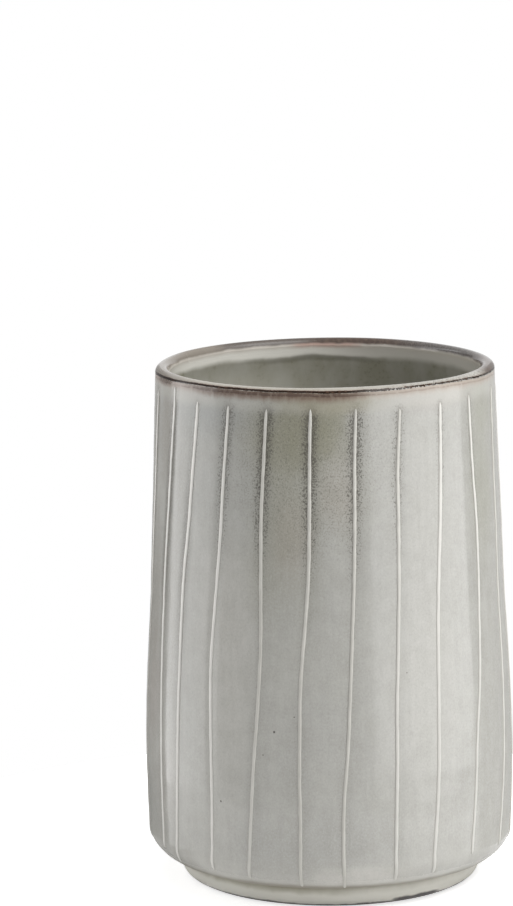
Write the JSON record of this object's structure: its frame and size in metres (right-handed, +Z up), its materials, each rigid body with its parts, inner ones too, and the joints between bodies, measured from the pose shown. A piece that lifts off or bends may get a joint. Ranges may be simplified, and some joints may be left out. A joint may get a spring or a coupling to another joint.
{
  "type": "toothbrush holder",
  "caption": "Glazed stoneware tumbler with a rounded lip, a taper from belly to mouth, thin raised vertical lines and a foot ring; holds toothbrushes upright on a basin.",
  "frame": {"origin": "centre of the foot ring's contact plane, on the table", "axes": "+Z up along the cup's axis; -Y is the front that faces the viewer; +X to the viewer's right"},
  "size_m": [0.0801, 0.0803, 0.1125],
  "materials": {
    "bare_clay": "fired stoneware, unglazed and matte",
    "outer_glaze": "satin reactive glaze, grey green with olive and blue-grey clouds",
    "lip_glaze": "satin pale beige-grey glaze",
    "inner_glaze": "satin grey-green glaze with fine specks",
    "base_glaze": "satin grey glaze",
    "iron_outer": "dark iron-brown break in the glaze",
    "iron_inner": "warm iron-brown break in the glaze",
    "slip": "off-white raised slip, satin"
  },
  "bodies": {
    "root": {"clay_body": "bare_clay", "outer_glaze": "outer_glaze", "lip_glaze": "lip_glaze", "inner_glaze": "inner_glaze", "base_glaze": "base_glaze", "iron_line_outer": "iron_outer", "iron_line_inner": "iron_inner", "slip_line_01": "slip", "slip_line_02": "slip", "slip_line_03": "slip", "slip_line_04": "slip", "slip_line_05": "slip", "slip_line_06": "slip", "slip_line_07": "slip", "slip_line_08": "slip", "slip_line_09": "slip", "slip_line_10": "slip", "slip_line_11": "slip", "slip_line_12": "slip", "slip_line_13": "slip", "slip_line_14": "slip", "slip_line_15": "slip", "slip_line_16": "slip", "slip_line_17": "slip", "slip_line_18": "slip", "slip_line_19": "slip", "slip_line_20": "slip", "slip_line_21": "slip", "slip_line_22": "slip", "slip_line_23": "slip", "slip_line_24": "slip"}
  },
  "joints": []
}
